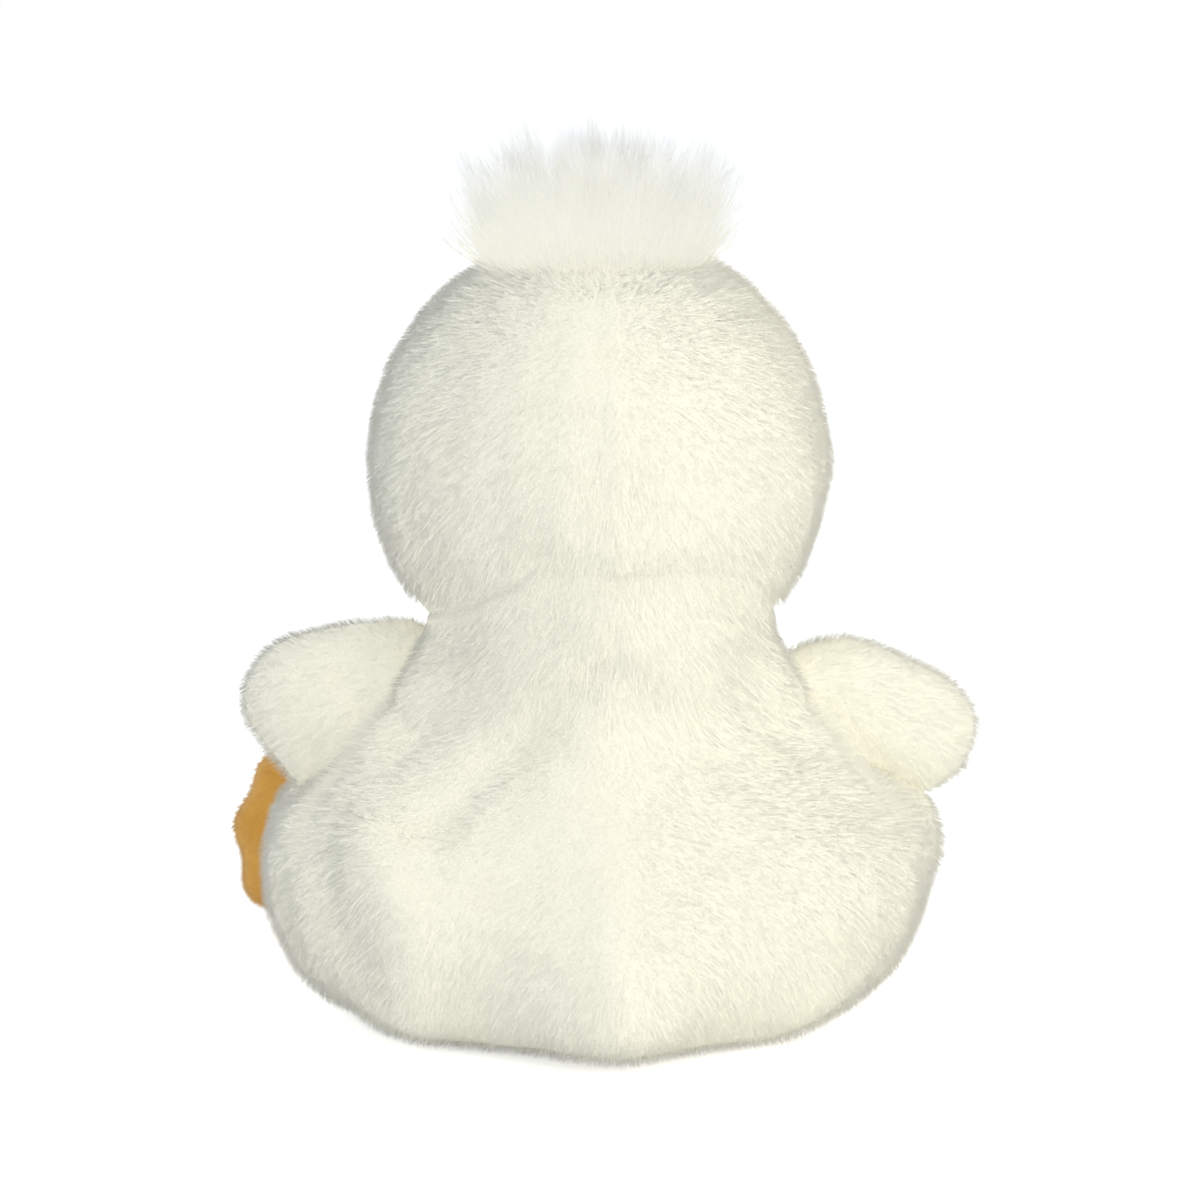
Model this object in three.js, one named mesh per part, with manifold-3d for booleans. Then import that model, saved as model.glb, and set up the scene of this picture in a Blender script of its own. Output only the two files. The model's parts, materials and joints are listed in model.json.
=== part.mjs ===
// A palm-sized plush pelican that sits on a flat seat. It is modelled as it is sewn: plush covers
// cut as separate panels, soft stuffing inside them, a bag of pellets in the seat, plastic eyes.
// Millimetres, +Z up. The bird faces -Y and its left side is +X. The origin is the middle of the seat.

import * as THREE from "three";
import { LoftGeometry } from "three/addons/geometries/LoftGeometry.js";
import { mergeVertices } from "three/addons/utils/BufferGeometryUtils.js";
import Module from "manifold-3d";

const wasm = await Module();
wasm.setup();

const { degToRad, lerp } = THREE.MathUtils;

// Cloth, seams and running gaps
const COVER = 1.6; // plush cloth: backing and pressed pile
const SEAM_GAP = 0.3; // between the cut edges of two panels
const FILL_GAP = 0.3; // between a cover and what it holds, and between sewn-on pieces
const TURN_GAP = 0.3; // between the head and the neck that it rolls in

// Body: the seat's edge and the fullest line, at the side, in front and behind
const SEAT_HALF_WIDTH = 34;
const SEAT_FRONT = 24;
const SEAT_BACK = 33;
const HIP_HALF_WIDTH = 48.4;
const HIP_HEIGHT = 22;
const BELLY_DEPTH = 36;
const BELLY_HEIGHT = 23;
const RUMP_DEPTH = 39;
const RUMP_HEIGHT = 13;
const HIP_FULLNESS = 15; // how far up the hips stay full
const BODY_SQUARENESS = 2.25; // 2 is an ellipse in plan
const TAIL_LENGTH = 8; // past the rump
const TAIL_HEIGHT = 7;
const TAIL_SPREAD = degToRad(15);

// Neck: the seam where head and body meet runs higher behind than at the sides
const NECK_HALF_WIDTH = 25.5;
const NECK_HEIGHT = 56.5;
const NECK_RISE_BEHIND = 8;
const NECK_DROP_IN_FRONT = 3;
const NECK_STRAIGHT = 9.5; // the upright stretch below the seam
const NECK_FLARE = 11; // how softly the neck runs out into the shoulders
const NECK_PLUG_RADIUS = 14;
const NECK_PLUG_DEPTH = 8;

// Seams of the body's panels, and the pellets' level
const BASE_SEAM_HEIGHT = 3.5;
const SIDE_SEAM_SHOULDER_HEIGHT = 46; // where the side seam crosses the middle plane
const SIDE_SEAM_SLOPE = degToRad(33.7); // how far it leans back on its way down
const PELLET_BAG_HEIGHT = 17;

// Head
const HEAD_RADIUS = 32.8;
const HEAD_FORWARD = 5;
const NECK_HOLE_RADIUS = 12;

// Crown tuft: long pile on a round patch, flaring over the patch's edge
const TUFT_BASE_RADIUS = 16;
const TUFT_FLARE_RADIUS = 20;
const TUFT_FLARE_HEIGHT = 3; // above the patch's edge
const TUFT_HEIGHT = 14.5; // above the crown
const TUFT_SHOULDER_DROP = 5.5; // below the top, where it is as wide as its base again

// Eyes: a domed button with a shank, locked by a washer inside the cover
const EYE_DIAMETER = 8.4;
const EYE_RISE = 3.6;
const EYE_AZIMUTH = degToRad(37);
const EYE_ELEVATION = degToRad(13);
const SHANK_DIAMETER = 2.6;
const SHANK_LENGTH = 6.5;
const WASHER_DIAMETER = 9;
const WASHER_THICKNESS = 1;

// Bill: a flat upper half and a deep pouch, both sewn to the face
const BILL_LENGTH = 37; // past the face
const BILL_HALF_WIDTH = 13.5;
const BILL_ROOT_HALF_WIDTH = 11.5;
const BILL_RISE = 6.2;
const BILL_ROOT_RISE = 5.6;
const POUCH_DEPTH = 16.5;
const POUCH_ROOT_DEPTH = 6.5;
const BILL_DROOP = degToRad(17);
const BILL_TUCK = 8; // the root's length inside the face, cut away there

// Wings: short round flaps sewn along the slope of the shoulder
const WING_DROP = 18.7; // the middle of the wing's seam, below the neck's seam
const WING_SEAM_ANGLE = degToRad(-3); // round the body, from the side
const WING_REACH = { left: 16.6, right: 15.4 }; // square to the seam: the right wing droops
const WING_SLANT = { left: 0, right: 6 }; // along the seam, from root to tip
const WING_HALF_WIDTH = 14.5;
const WING_ROOT_HALF_WIDTH = 12;
const WING_HALF_THICKNESS = 7.5;
const WING_ROOT_HALF_THICKNESS = 3.5;
const WING_SWEEP = degToRad(14); // forward of square to the shoulder
const WING_TUCK = 4; // the root's length inside the shoulder, cut away there
const WING_FORWARD_LIMIT = degToRad(20);
const WING_BACK_LIMIT = degToRad(-15);

// Feet: webbed pads that stand up against the belly
const FOOT_LENGTH = 26.5;
const FOOT_HALF_WIDTH = 13.5;
const FOOT_THICKNESS = 11;
const HEEL_RADIUS = 8.5;
const TOE_RADIUS = 6;
const TOE_STAGGER = 2; // the outer toes stop this far short of the middle one
const FOOT_SEAM_HEIGHT = 16;
const FOOT_AZIMUTH = degToRad(-44); // round the body, from the side
const FOOT_TOE_OUT = degToRad(-34); // its sole's turn from that direction
const FOOT_SPLAY = degToRad(80); // its toes' turn outwards
const FOOT_LEAN = degToRad(12);
const FOOT_TUCK = 5; // the heel's length inside the belly, cut away there
const FOOT_DROP_LIMIT = degToRad(25);

// How finely the round forms are cut
const BODY_COLUMNS = 32;
const HEAD_COLUMNS = 28;
const INNER_COLUMNS = 16;
const LIMB_COLUMNS = 16;
const LIMB_ROWS = 8;
const DOME_ROWS = 5;
const EDGE_ROWS = 2;
const ARC_STEPS = 3;
const RELIEF_STEPS = 4; // poses that a limb's root is cut free for
const TIP_BLUNTNESS = 2.9; // 2 ends a limb in an ellipse
const LAST_ROW = 0.97; // of the quarter turn that ends a limb: its tip is a small flat
const FAR = 400; // half-space blocks reach past everything
const NUDGE = 0.01; // for slopes taken from two near points

const PLUSH = { color: 0xf4f0e2, roughness: 0.95 };
const LONG_PILE = { color: 0xf6f4ec, roughness: 0.95 };
const ORANGE_PLUSH = { color: 0xd99c4c, roughness: 0.9 };
const FIBREFILL = { color: 0xfafafa, roughness: 1 };
const PELLET_CLOTH = { color: 0xdedbd2, roughness: 0.9 };
const EYE_PLASTIC = { color: 0x0b0a0a, roughness: 0.12 };
const WASHER_PLASTIC = { color: 0xe8e8e6, roughness: 0.5 };

const origin = new THREE.Vector3(0, 0, 0);
const sideways = new THREE.Vector3(1, 0, 0);
const upwards = new THREE.Vector3(0, 0, 1);

// Closed geometry to a solid, and a solid to a named mesh

function solid(geometry) {
  const bare = new THREE.BufferGeometry();
  bare.setAttribute("position", geometry.getAttribute("position").clone());
  bare.setIndex(geometry.index);
  const merged = mergeVertices(bare, 1e-4);
  const corners = merged.index.array;
  const kept = [];
  for (let i = 0; i < corners.length; i += 3) {
    const [a, b, c] = corners.subarray(i, i + 3);
    if (a !== b && b !== c && c !== a) kept.push(a, b, c);
  }
  return new wasm.Manifold(
    new wasm.Mesh({
      numProp: 3,
      vertProperties: merged.getAttribute("position").array,
      triVerts: new Uint32Array(kept),
    }),
  );
}

function meshOf(name, made, look) {
  const { vertProperties, triVerts } = made.getMesh();
  const geometry = new THREE.BufferGeometry();
  geometry.setAttribute("position", new THREE.BufferAttribute(vertProperties, 3));
  geometry.setIndex(new THREE.BufferAttribute(triVerts, 1));
  geometry.computeVertexNormals();
  const mesh = new THREE.Mesh(geometry, new THREE.MeshStandardMaterial(look));
  mesh.name = name;
  return mesh;
}

// Simple solids and cuts

// All that lies on the side of a plane that its normal points to.
function halfSpace(point, normal) {
  const turn = new THREE.Quaternion().setFromUnitVectors(upwards, normal.clone().normalize());
  const block = new THREE.BoxGeometry(2 * FAR, 2 * FAR, FAR).translate(0, 0, FAR / 2);
  return solid(block.applyQuaternion(turn).translate(point.x, point.y, point.z));
}

// The two sides of a cut across a solid, with the seam's gap between them.
function split(made, point, normal) {
  const step = normal.clone().setLength(SEAM_GAP / 2);
  const ahead = made.intersect(halfSpace(point.clone().add(step), normal));
  const behind = made.intersect(halfSpace(point.clone().sub(step), normal.clone().negate()));
  return [ahead, behind];
}

function ball(radius, columns, centre = origin) {
  const sphere = new THREE.SphereGeometry(radius, columns, columns / 2).rotateX(Math.PI / 2);
  return solid(sphere.translate(centre.x, centre.y, centre.z));
}

// A cylinder round the Z axis.
function drum(radius, low, high, columns) {
  const cylinder = new THREE.CylinderGeometry(radius, radius, high - low, columns);
  return cylinder.rotateX(Math.PI / 2).translate(0, 0, (low + high) / 2);
}

// A profile of radius and height, turned round the Z axis.
function lathe(points, columns) {
  return solid(new THREE.LatheGeometry(points, columns).rotateX(Math.PI / 2));
}

// How far a faceted round's flats stand inside its corners.
function flatness(columns) {
  return Math.cos(Math.PI / columns);
}

// The head's place: its ball rests on the neck's seam
const headHeight = NECK_HEIGHT + Math.sqrt(HEAD_RADIUS ** 2 - NECK_HALF_WIDTH ** 2);
const headCentre = new THREE.Vector3(0, -HEAD_FORWARD, headHeight);

// The radius of the head's ball at a height.
function seamRadius(height) {
  return Math.sqrt(HEAD_RADIUS ** 2 - (headHeight - height) ** 2);
}

// Body form

function planRadius(angle, across, along, power) {
  const over = Math.abs(Math.cos(angle) / across) ** power;
  const deep = Math.abs(Math.sin(angle) / along) ** power;
  return (over + deep) ** (-1 / power);
}

// The sizes of one upright outline of the body, at an angle round it from its left side.
function bodyOutline(angle) {
  const behind = Math.sin(angle) > 0;
  const turned = Math.sin(angle) ** 2;
  const tail = Math.exp(-(((angle - Math.PI / 2) / TAIL_SPREAD) ** 2));
  const depth = behind ? RUMP_DEPTH : BELLY_DEPTH;
  const height = lerp(HIP_HEIGHT, behind ? RUMP_HEIGHT : BELLY_HEIGHT, turned);
  const neckBehind = seamRadius(NECK_HEIGHT + NECK_RISE_BEHIND) - HEAD_FORWARD;
  const neckInFront = seamRadius(NECK_HEIGHT - NECK_DROP_IN_FRONT) + HEAD_FORWARD;
  return {
    seat: planRadius(angle, SEAT_HALF_WIDTH, behind ? SEAT_BACK : SEAT_FRONT, BODY_SQUARENESS),
    full: planRadius(angle, HIP_HALF_WIDTH, depth, BODY_SQUARENESS) + tail * TAIL_LENGTH,
    fullHeight: lerp(height, TAIL_HEIGHT, tail),
    neck: planRadius(angle, NECK_HALF_WIDTH, behind ? neckBehind : neckInFront, 2),
  };
}

// A point of the body. Step 0 to 1 goes from the seat to the fullest line, 1 to 2 from there to the
// neck, and 2 to 3 up the neck into the head. An inset moves it inwards.
function bodyPoint(angle, step, inset) {
  const { seat, full, fullHeight, neck } = bodyOutline(angle);
  const neckStart = NECK_HEIGHT - NECK_STRAIGHT;
  let place;
  if (step <= 1) {
    const rise = (step * Math.PI) / 2;
    place = new THREE.Vector2(
      lerp(seat, full, Math.sin(rise)),
      lerp(inset, fullHeight, 1 - Math.cos(rise)),
    );
  } else if (step <= 2) {
    const shoulder = new THREE.CubicBezierCurve(
      new THREE.Vector2(full, fullHeight),
      new THREE.Vector2(full, fullHeight + HIP_FULLNESS),
      new THREE.Vector2(neck, neckStart - NECK_FLARE),
      new THREE.Vector2(neck, neckStart),
    );
    place = shoulder.getPoint(step - 1);
  } else {
    place = new THREE.Vector2(neck, lerp(neckStart, headHeight, step - 2));
  }
  const radius = place.x - inset;
  return new THREE.Vector3(radius * Math.cos(angle), radius * Math.sin(angle), place.y);
}

const OUTSIDE_STEPS = [0, 0.25, 0.5, 0.75, 1, 1.16, 1.33, 1.5, 1.67, 1.84, 2, 3];
const INSIDE_STEPS = [0, 0.35, 0.7, 1, 1.25, 1.5, 1.75, 2, 3];

function bodyForm(inset) {
  const sections = (inset > 0 ? INSIDE_STEPS : OUTSIDE_STEPS).map((step) => {
    const ring = [];
    for (let i = 0; i < BODY_COLUMNS; i += 1) {
      ring.push(bodyPoint((i / BODY_COLUMNS) * 2 * Math.PI, step, inset));
    }
    return ring;
  });
  return new LoftGeometry(sections, { capStart: true, capEnd: true });
}

// The step of the body's outline that lies at a height, by halving the stretch that holds it.
function stepAtHeight(angle, height, first, last) {
  const HALVINGS = 30;
  let [low, high] = [first, last];
  for (let i = 0; i < HALVINGS; i += 1) {
    const middle = (low + high) / 2;
    if (bodyPoint(angle, middle, -FILL_GAP).z < height) low = middle;
    else high = middle;
  }
  return low;
}

// The room that the head's ball needs in the neck: its flats clear the ball's corners as it turns.
function headRoom() {
  return ball((HEAD_RADIUS + TURN_GAP) / flatness(HEAD_COLUMNS) ** 2, HEAD_COLUMNS, headCentre);
}

// The round plug of stuffing in the neck, which turns with the head, and with a gap the room for it.
function neckPlug(gap) {
  const low = headHeight - HEAD_RADIUS - NECK_PLUG_DEPTH - gap;
  const radius = gap > 0 ? (NECK_PLUG_RADIUS + gap) / flatness(INNER_COLUMNS) : NECK_PLUG_RADIUS;
  return solid(drum(radius, low, headHeight, INNER_COLUMNS).translate(0, headCentre.y, 0));
}

function buildBody() {
  const cup = headRoom();
  const shell = solid(bodyForm(0)).subtract(solid(bodyForm(COVER))).subtract(cup);
  const [sides, base] = split(shell, new THREE.Vector3(0, 0, BASE_SEAM_HEIGHT), upwards);
  const sideSeam = new THREE.Vector3(0, 0, SIDE_SEAM_SHOULDER_HEIGHT);
  const backwards = new THREE.Vector3(0, Math.cos(SIDE_SEAM_SLOPE), Math.sin(SIDE_SEAM_SLOPE));
  const [back, belly] = split(sides, sideSeam, backwards);
  const [backLeft, backRight] = split(back, origin, sideways);

  const fill = solid(bodyForm(COVER + FILL_GAP)).subtract(cup).subtract(neckPlug(FILL_GAP));
  const pelletTop = new THREE.Vector3(0, 0, PELLET_BAG_HEIGHT);
  const [stuffing, pelletBag] = split(fill, pelletTop, upwards);

  const group = new THREE.Group();
  group.add(
    meshOf("body_back_left", backLeft, PLUSH),
    meshOf("body_back_right", backRight, PLUSH),
    meshOf("body_belly", belly, PLUSH),
    meshOf("body_base", base, PLUSH),
    meshOf("body_stuffing", stuffing, FIBREFILL),
    meshOf("pellet_bag", pelletBag, PELLET_CLOTH),
    meshOf("neck_stuffing", neckPlug(0).subtract(cup), FIBREFILL),
  );
  return group;
}

// Head, in a frame of its own at the middle of its ball

// The turn that takes +Z to the way an eye looks.
function eyeTurn(side) {
  const look = new THREE.Vector3(
    side * Math.sin(EYE_AZIMUTH) * Math.cos(EYE_ELEVATION),
    -Math.cos(EYE_AZIMUTH) * Math.cos(EYE_ELEVATION),
    Math.sin(EYE_ELEVATION),
  );
  return new THREE.Quaternion().setFromUnitVectors(upwards, look);
}

function buildEye(name, side) {
  const seat = HEAD_RADIUS + FILL_GAP;
  const radius = EYE_DIAMETER / 2;
  const shank = SHANK_DIAMETER / 2;
  const button = [
    new THREE.Vector2(0, seat - SHANK_LENGTH),
    new THREE.Vector2(shank, seat - SHANK_LENGTH),
    new THREE.Vector2(shank, seat),
  ];
  for (let i = 0; i < DOME_ROWS; i += 1) {
    const angle = ((i / DOME_ROWS) * Math.PI) / 2;
    button.push(new THREE.Vector2(radius * Math.cos(angle), seat + EYE_RISE * Math.sin(angle)));
  }
  button.push(new THREE.Vector2(0, seat + EYE_RISE));

  const rim = WASHER_DIAMETER / 2;
  const bore = shank + FILL_GAP;
  const reach = (HEAD_RADIUS - COVER) * flatness(INNER_COLUMNS) ** 2 - FILL_GAP;
  const top = Math.sqrt(reach ** 2 - rim ** 2);
  const washer = [
    new THREE.Vector2(bore, top - WASHER_THICKNESS),
    new THREE.Vector2(rim, top - WASHER_THICKNESS),
    new THREE.Vector2(rim, top),
    new THREE.Vector2(bore, top),
    new THREE.Vector2(bore, top - WASHER_THICKNESS),
  ];

  const group = new THREE.Group();
  group.quaternion.copy(eyeTurn(side));
  group.add(
    meshOf(`${name}_eye`, lathe(button, LIMB_COLUMNS), EYE_PLASTIC),
    meshOf(`${name}_eye_washer`, lathe(washer, LIMB_COLUMNS), WASHER_PLASTIC),
  );
  return group;
}

// Half a limb's width at a share of its length: from its root to its fullest, then round to its tip.
function swell(along, root, full, fullAt) {
  if (along < fullAt) {
    return root + (full - root) * Math.sin(((along / fullAt) * Math.PI) / 2);
  }
  const past = (along - fullAt) / (1 - fullAt);
  return full * (1 - past ** TIP_BLUNTNESS) ** (1 / TIP_BLUNTNESS);
}

// A closed loft along +Z, closer together towards its round tip. The ring at a share of the length
// comes from a function of that share and of the angle round it.
function limbLoft(pointAt) {
  const sections = [];
  for (let row = 0; row <= LIMB_ROWS; row += 1) {
    const along = Math.sin((row / LIMB_ROWS) * LAST_ROW * (Math.PI / 2));
    const ring = [];
    for (let i = 0; i < LIMB_COLUMNS; i += 1) {
      ring.push(pointAt(along, (i / LIMB_COLUMNS) * 2 * Math.PI));
    }
    sections.push(ring);
  }
  return new LoftGeometry(sections, { capStart: true, capEnd: true });
}

// The bill's form along its own axis, with its upper half towards +Y.
function billForm(inset) {
  const FULLEST = 0.42;
  const length = BILL_LENGTH + BILL_TUCK - inset;
  const within = (size, full) => size * (1 - inset / full);
  return limbLoft((along, angle) => {
    const wide = swell(along, BILL_ROOT_HALF_WIDTH, BILL_HALF_WIDTH, FULLEST);
    const over = swell(along, BILL_ROOT_RISE, BILL_RISE, FULLEST);
    const under = swell(along, POUCH_ROOT_DEPTH, POUCH_DEPTH, FULLEST);
    const lift = Math.sin(angle);
    const high = lift > 0 ? within(over, BILL_RISE) : within(under, POUCH_DEPTH);
    const across = within(wide, BILL_HALF_WIDTH) * Math.cos(angle);
    return new THREE.Vector3(across, high * lift, along * length);
  });
}

function buildBill() {
  const ahead = new THREE.Matrix4()
    .makeRotationX(Math.PI / 2 + BILL_DROOP)
    .multiply(new THREE.Matrix4().makeTranslation(0, 0, HEAD_RADIUS - BILL_TUCK));
  const face = ball(HEAD_RADIUS + FILL_GAP, HEAD_COLUMNS);
  const billAt = (inset) => solid(billForm(inset).applyMatrix4(ahead)).subtract(face);
  const shell = billAt(0).subtract(solid(billForm(COVER).applyMatrix4(ahead)));
  const gape = new THREE.Vector3(0, 1, 0).transformDirection(ahead);
  const [upper, pouch] = split(shell, origin, gape);
  return [
    meshOf("bill_upper", upper, ORANGE_PLUSH),
    meshOf("bill_pouch", pouch, ORANGE_PLUSH),
    meshOf("bill_stuffing", billAt(COVER + FILL_GAP), FIBREFILL),
  ];
}

function buildTuft() {
  const edge = Math.sqrt(HEAD_RADIUS ** 2 - TUFT_BASE_RADIUS ** 2);
  const top = HEAD_RADIUS + TUFT_HEIGHT;
  const outline = new THREE.SplineCurve([
    new THREE.Vector2(TUFT_BASE_RADIUS, edge),
    new THREE.Vector2(TUFT_FLARE_RADIUS, edge + TUFT_FLARE_HEIGHT),
    new THREE.Vector2(TUFT_BASE_RADIUS, top - TUFT_SHOULDER_DROP),
    new THREE.Vector2(0, top),
  ]).getPoints(LIMB_ROWS);
  const profile = [new THREE.Vector2(0, edge), ...outline];
  profile.at(-1).x = 0;
  const tuft = lathe(profile, INNER_COLUMNS).subtract(ball(HEAD_RADIUS + FILL_GAP, HEAD_COLUMNS));
  return meshOf("crown_tuft", tuft, LONG_PILE);
}

function buildHead() {
  const neckHole = solid(drum(NECK_HOLE_RADIUS, -2 * HEAD_RADIUS, 0, INNER_COLUMNS));
  let shell = ball(HEAD_RADIUS, HEAD_COLUMNS)
    .subtract(ball(HEAD_RADIUS - COVER, INNER_COLUMNS))
    .subtract(neckHole);
  let stuffing = ball(HEAD_RADIUS - COVER - FILL_GAP, INNER_COLUMNS);

  const group = new THREE.Group();
  group.position.copy(headCentre);
  for (const [name, side] of [["left", 1], ["right", -1]]) {
    const shankEnd = HEAD_RADIUS - SHANK_LENGTH;
    const along = (radius) => {
      const hole = drum(radius + FILL_GAP, shankEnd, 2 * HEAD_RADIUS, LIMB_COLUMNS);
      return solid(hole.applyQuaternion(eyeTurn(side)));
    };
    shell = shell.subtract(along(SHANK_DIAMETER / 2));
    stuffing = stuffing.subtract(along(WASHER_DIAMETER / 2));
    group.add(buildEye(name, side));
  }
  const [left, right] = split(shell, origin, sideways);
  group.add(
    meshOf("head_cover_left", left, PLUSH),
    meshOf("head_cover_right", right, PLUSH),
    meshOf("head_stuffing", stuffing, FIBREFILL),
    buildTuft(),
    ...buildBill(),
  );
  return group;
}

// Limbs. In a limb's frame its hinge is the X axis, Z leads to its tip and Y is its thickness.

function limbFrame(place, hinge, tip) {
  const thick = new THREE.Vector3().crossVectors(tip, hinge);
  return new THREE.Matrix4().makeBasis(hinge, thick, tip).setPosition(place);
}

// A limb's form without what the body would fill, at any pose between two limits.
function clearOfBody(form, frame, low, high) {
  const toLimb = frame.clone().invert();
  let made = solid(form);
  for (let i = 0; i <= RELIEF_STEPS; i += 1) {
    const turn = new THREE.Matrix4().makeRotationX(-lerp(low, high, i / RELIEF_STEPS));
    made = made.subtract(solid(bodyForm(-FILL_GAP).applyMatrix4(turn.multiply(toLimb))));
  }
  return made;
}

// The two panels and the stuffing of a limb, parted at a seam halfway through its thickness.
function limbPieces(formAt, frame, low, high, seam) {
  const shell = clearOfBody(formAt(0), frame, low, high).subtract(solid(formAt(COVER)));
  const [ahead, behind] = split(shell, seam, new THREE.Vector3(0, 1, 0));
  const stuffing = clearOfBody(formAt(COVER + FILL_GAP), frame, low, high);
  return { ahead, behind, stuffing };
}

function placed(frame, meshes) {
  const group = new THREE.Group();
  frame.decompose(group.position, group.quaternion, group.scale);
  group.add(...meshes);
  return group;
}

// A wing's hinge runs down the slope of the shoulder.
function wingFrame() {
  const step = stepAtHeight(WING_SEAM_ANGLE, NECK_HEIGHT - WING_DROP, 1, 2);
  const place = bodyPoint(WING_SEAM_ANGLE, step, -FILL_GAP);
  const lower = bodyPoint(WING_SEAM_ANGLE, step - NUDGE, -FILL_GAP);
  const hinge = lower.sub(place).normalize();
  const forwards = new THREE.Vector3(Math.sin(WING_SEAM_ANGLE), -Math.cos(WING_SEAM_ANGLE), 0);
  const tip = new THREE.Vector3()
    .crossVectors(forwards, hinge)
    .multiplyScalar(Math.cos(WING_SWEEP))
    .addScaledVector(forwards, Math.sin(WING_SWEEP));
  return limbFrame(place, hinge, tip.normalize());
}

function wingForm(inset, reach, slant) {
  const FULLEST = 0.52;
  const within = (size, full) => size * (1 - inset / full);
  return limbLoft((along, angle) => {
    const wide = swell(along, WING_ROOT_HALF_WIDTH, WING_HALF_WIDTH, FULLEST);
    const thick = swell(along, WING_ROOT_HALF_THICKNESS, WING_HALF_THICKNESS, FULLEST);
    return new THREE.Vector3(
      within(wide, WING_HALF_WIDTH) * Math.cos(angle) + along * slant,
      within(thick, WING_HALF_THICKNESS) * Math.sin(angle),
      lerp(-WING_TUCK, reach - inset, along),
    );
  });
}

function buildWing(name) {
  const frame = wingFrame();
  const formAt = (inset) => wingForm(inset, WING_REACH[name], WING_SLANT[name]);
  const pieces = limbPieces(formAt, frame, WING_BACK_LIMIT, WING_FORWARD_LIMIT, origin);
  return placed(frame, [
    meshOf(`${name}_wing_back`, pieces.ahead, PLUSH),
    meshOf(`${name}_wing_front`, pieces.behind, PLUSH),
    meshOf(`${name}_wing_stuffing`, pieces.stuffing, FIBREFILL),
  ]);
}

// A foot's hinge lies across its heel, and its sole looks ahead and outwards.
function footFrame() {
  const step = stepAtHeight(FOOT_AZIMUTH, FOOT_SEAM_HEIGHT, 0, 1);
  const heading = FOOT_AZIMUTH + FOOT_TOE_OUT;
  const ahead = new THREE.Vector3(Math.cos(heading), Math.sin(heading), 0);
  const aside = new THREE.Vector3(-ahead.y, ahead.x, 0);
  const rise = upwards
    .clone()
    .multiplyScalar(Math.cos(FOOT_LEAN))
    .addScaledVector(ahead, Math.sin(FOOT_LEAN));
  const toes = rise
    .clone()
    .multiplyScalar(Math.cos(FOOT_SPLAY))
    .addScaledVector(aside, Math.sin(FOOT_SPLAY));
  const hinge = rise
    .multiplyScalar(Math.sin(FOOT_SPLAY))
    .addScaledVector(aside, -Math.cos(FOOT_SPLAY));
  return limbFrame(bodyPoint(FOOT_AZIMUTH, step, -FILL_GAP), hinge, toes);
}

// The outline of a webbed foot: a round heel, sides that touch it and three toes.
function footOutline() {
  const heel = new THREE.Vector2(0, HEEL_RADIUS);
  const middleToe = new THREE.Vector2(0, FOOT_LENGTH - TOE_RADIUS);
  const outerToe = new THREE.Vector2(FOOT_HALF_WIDTH - TOE_RADIUS, middleToe.y - TOE_STAGGER);
  const side = outerToe.clone().sub(heel);
  const sideNormal = side.angle() - Math.acos((HEEL_RADIUS - TOE_RADIUS) / side.length());
  const between = middleToe.clone().sub(outerToe);
  const cleft = between.angle() - Math.acos(between.length() / (2 * TOE_RADIUS));
  const middleStart = 2 * between.angle() - cleft - Math.PI;

  const outline = new THREE.Shape();
  outline.absarc(heel.x, heel.y, HEEL_RADIUS, Math.PI - sideNormal, 2 * Math.PI + sideNormal);
  outline.absarc(outerToe.x, outerToe.y, TOE_RADIUS, sideNormal, cleft);
  outline.absarc(0, middleToe.y, TOE_RADIUS, middleStart, Math.PI - middleStart);
  outline.absarc(-outerToe.x, outerToe.y, TOE_RADIUS, Math.PI - cleft, Math.PI - sideNormal);
  outline.closePath();
  return outline;
}

// The pad of a foot with its heel tucked in past the hinge and its top in the plane of the hinge.
function footPad(inset) {
  const ROUNDED = 0.8; // the share of a toe, and of the thickness, that the rounded edge takes
  const edge = ROUNDED * (TOE_RADIUS - inset);
  const half = FOOT_THICKNESS / 2 - inset;
  const pad = new THREE.ExtrudeGeometry(footOutline(), {
    depth: 2 * half * (1 - ROUNDED),
    bevelThickness: half * ROUNDED,
    bevelSize: edge,
    bevelOffset: -edge - inset,
    bevelSegments: EDGE_ROWS,
    curveSegments: ARC_STEPS,
  });
  pad.translate(0, 0, -half * (1 - ROUNDED)).rotateX(Math.PI / 2);
  return pad.translate(0, FOOT_THICKNESS / 2, -FOOT_TUCK);
}

function buildFoot(name) {
  const frame = footFrame();
  const middle = new THREE.Vector3(0, FOOT_THICKNESS / 2, 0);
  const pieces = limbPieces(footPad, frame, -FOOT_DROP_LIMIT, 0, middle);
  return placed(frame, [
    meshOf(`${name}_foot_sole`, pieces.ahead, ORANGE_PLUSH),
    meshOf(`${name}_foot_top`, pieces.behind, ORANGE_PLUSH),
    meshOf(`${name}_foot_stuffing`, pieces.stuffing, FIBREFILL),
  ]);
}

// Assembly. The right limbs' hinges and feet are the left ones mirrored.

const pelican = new THREE.Group();
pelican.add(buildBody(), buildHead());
for (const [name, side] of [["left", 1], ["right", -1]]) {
  const limbs = new THREE.Group();
  limbs.scale.x = side;
  limbs.add(buildWing(name), buildFoot(name));
  pelican.add(limbs);
}

export default pelican;
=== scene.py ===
import json
import math

import bpy
import numpy as np
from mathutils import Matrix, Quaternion, Vector
from mathutils.bvhtree import BVHTree


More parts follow.
